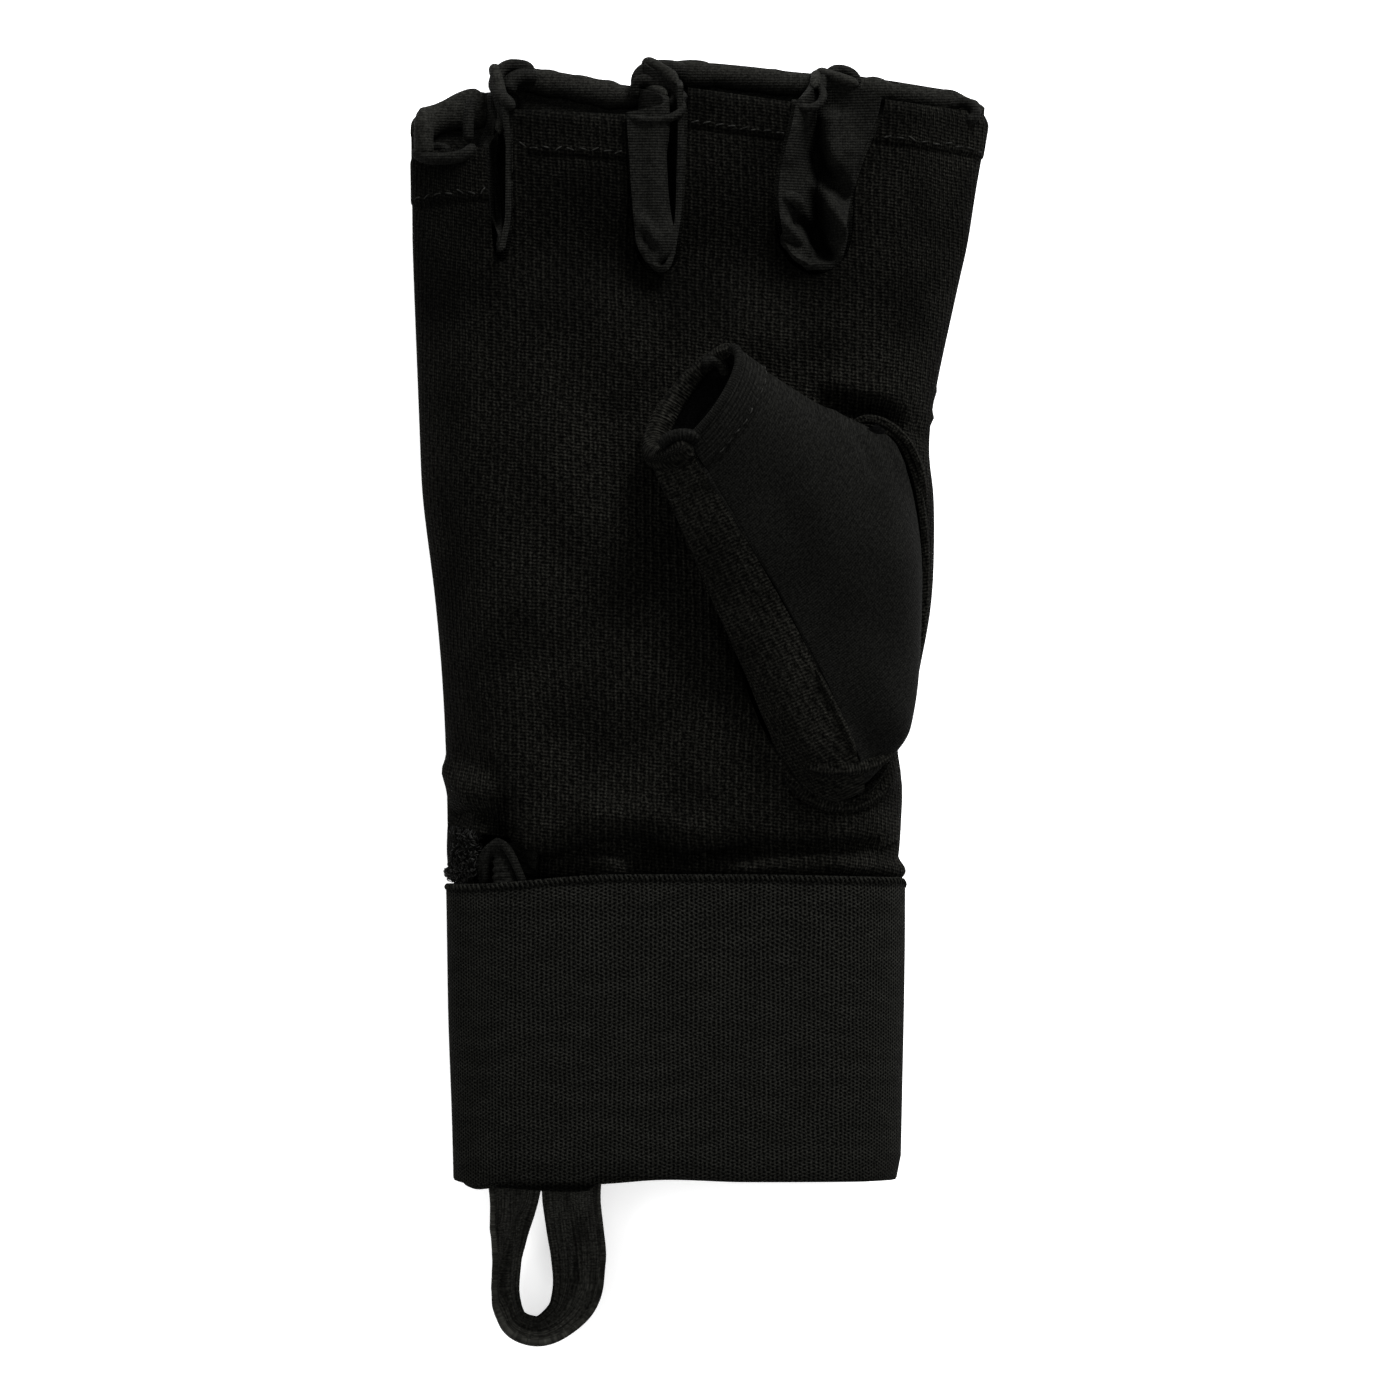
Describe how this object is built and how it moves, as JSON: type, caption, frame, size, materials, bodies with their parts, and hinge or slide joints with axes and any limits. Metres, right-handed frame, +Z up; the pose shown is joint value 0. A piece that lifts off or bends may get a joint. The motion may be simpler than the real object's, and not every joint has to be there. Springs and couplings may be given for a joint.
{
  "type": "gel hand wrap",
  "caption": "Half-finger padded hand wrap for the right hand, lying palm up, with a mesh knit palm, a folded thumb, a wide elastic wrist strap and a pull loop.",
  "frame": {"origin": "on the resting plane, under the middle of the outline seen from above", "axes": "+X across the hand towards the thumb, +Y from the wrist to the fingers, +Z up out of the palm"},
  "size_m": [0.1158, 0.257, 0.037],
  "materials": {
    "palm_knit": "ribbed mesh knit, matt",
    "smooth_cloth": "fine stretch cloth, soft sheen",
    "strap_elastic": "dotted woven elastic, matt",
    "fastener_pile": "short fuzzy pile",
    "loop_tape": "folded stretch tape, fine cross ribs"
  },
  "bodies": {
    "root": {"palm_panel": "palm_knit", "thumb_knit": "palm_knit", "thumb_sleeve": "smooth_cloth", "back_panel": "smooth_cloth", "knuckle_pad": "smooth_cloth", "gusset_little_ring": "smooth_cloth", "gusset_ring_middle": "smooth_cloth", "gusset_middle_index": "smooth_cloth", "vent_gore": "smooth_cloth", "vent_binding": "loop_tape", "wrist_strap": "strap_elastic", "hook_tab": "fastener_pile", "loop_patch": "fastener_pile", "pull_loop": "loop_tape"}
  },
  "joints": []
}
